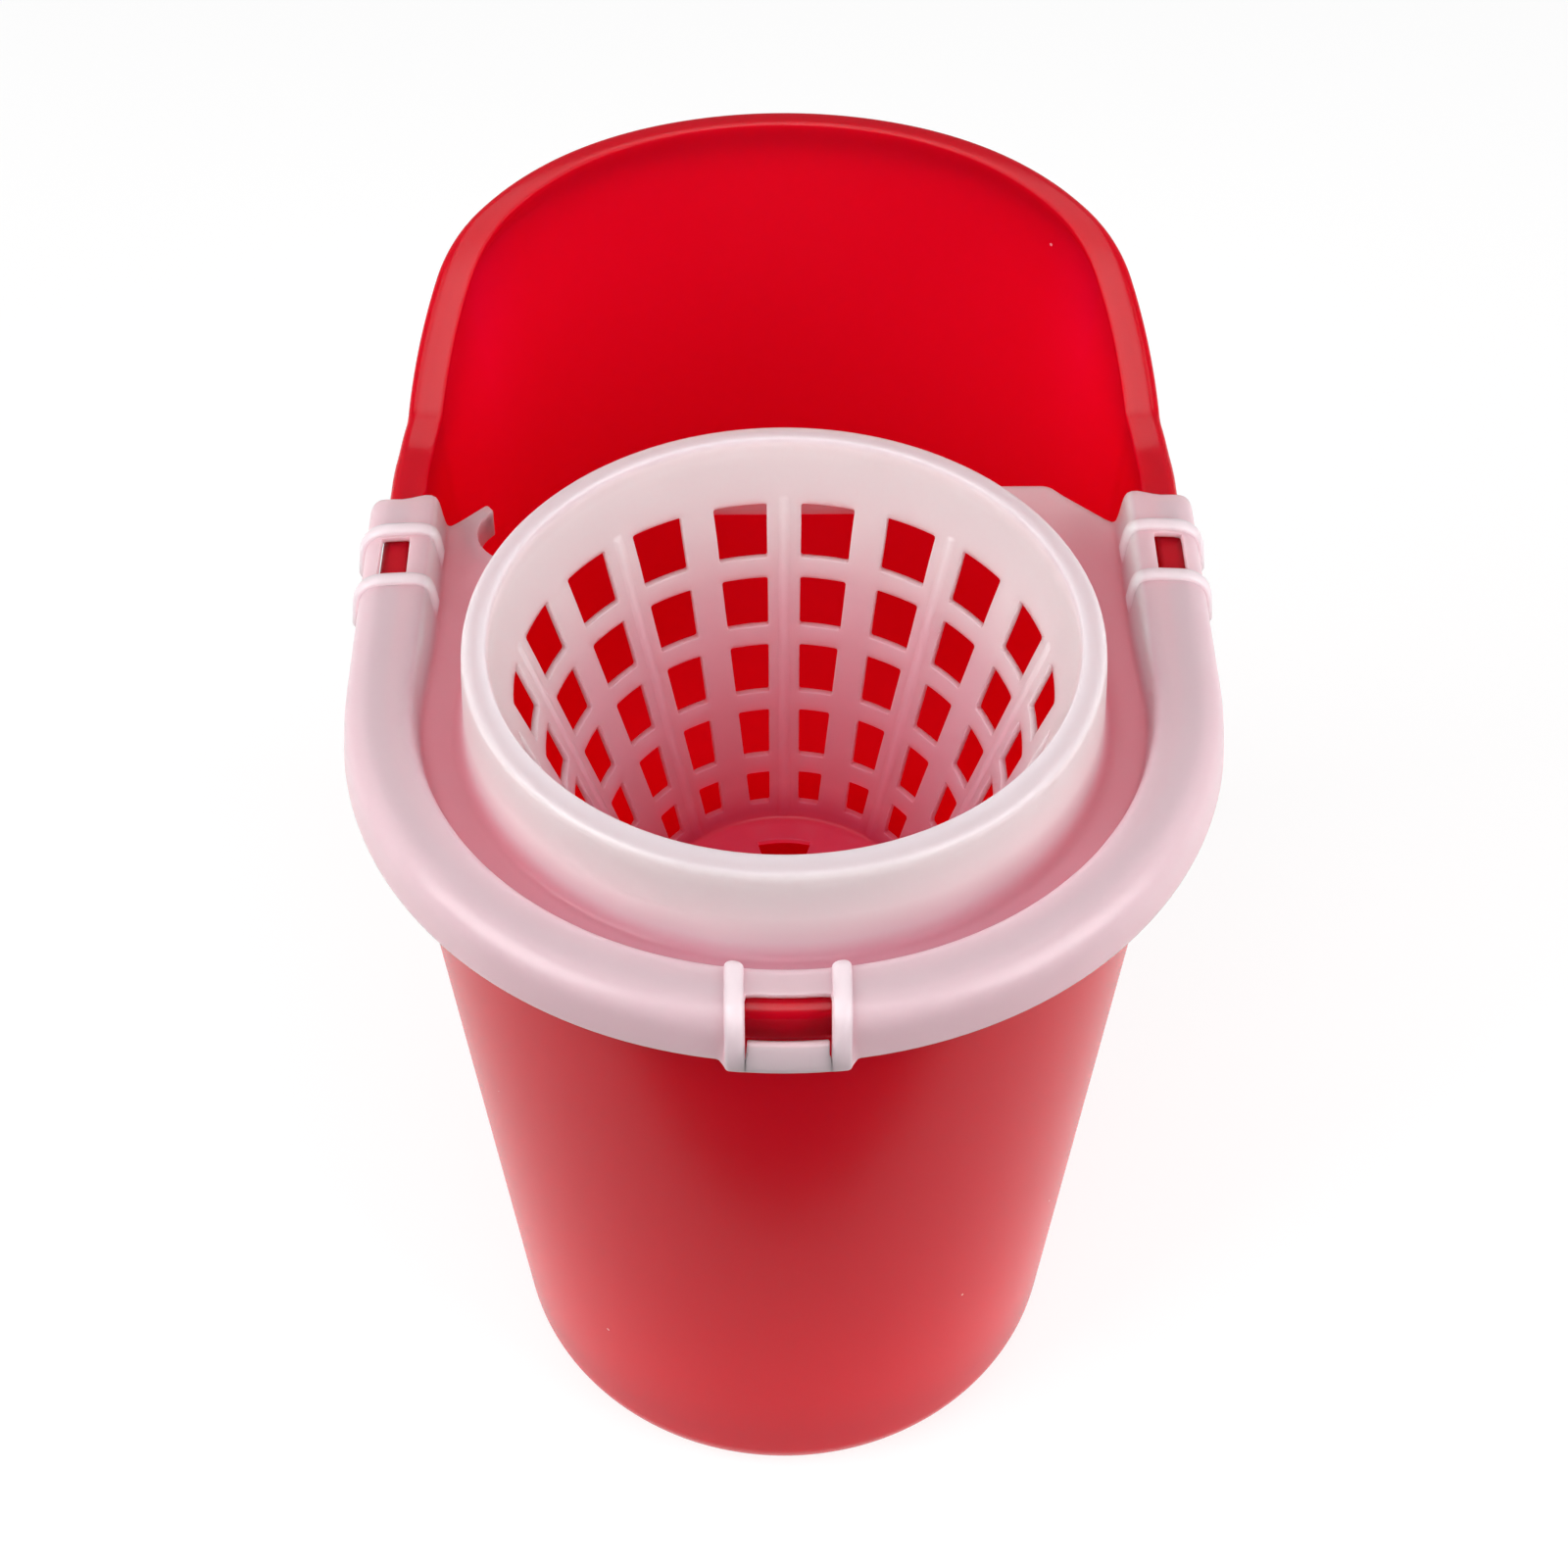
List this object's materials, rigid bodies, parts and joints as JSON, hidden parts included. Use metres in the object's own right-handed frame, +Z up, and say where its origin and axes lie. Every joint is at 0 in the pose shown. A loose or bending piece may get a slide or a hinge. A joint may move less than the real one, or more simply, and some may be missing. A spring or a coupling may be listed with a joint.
{
  "type": "mop bucket with wringer",
  "caption": "Tall-backed oval plastic bucket with a clip-on wringer: a perforated drain cone on a deck whose channel caps the bucket's front rim and lifts off.",
  "frame": {"origin": "on the ground, under the middle of the outline", "axes": "+Z up, +Y from the low front rim with the wringer to the tall back, +X to the right seen from the front"},
  "size_m": [0.2862, 0.3798, 0.3748],
  "materials": {
    "red_plastic": "satin moulded polypropylene",
    "natural_plastic": "natural, slightly see-through polypropylene"
  },
  "bodies": {
    "bucket": {"bucket": "red_plastic"},
    "wringer": {"wringer": "natural_plastic"},
    "front_catch": {"front_catch": "natural_plastic"}
  },
  "joints": [
    {"name": "wringer_lift", "type": "slide", "parent": "bucket", "child": "wringer", "axis": [0, 0, 1], "range_m": [0, 0.15]},
    {"name": "catch_flex", "type": "hinge", "parent": "wringer", "child": "front_catch", "pos_m": [0.00127, -0.1872, 0.3075], "axis": [-1, -0.0091, 0], "range_deg": [0, 20], "stiffness_Nm_per_rad": 0.4}
  ]
}
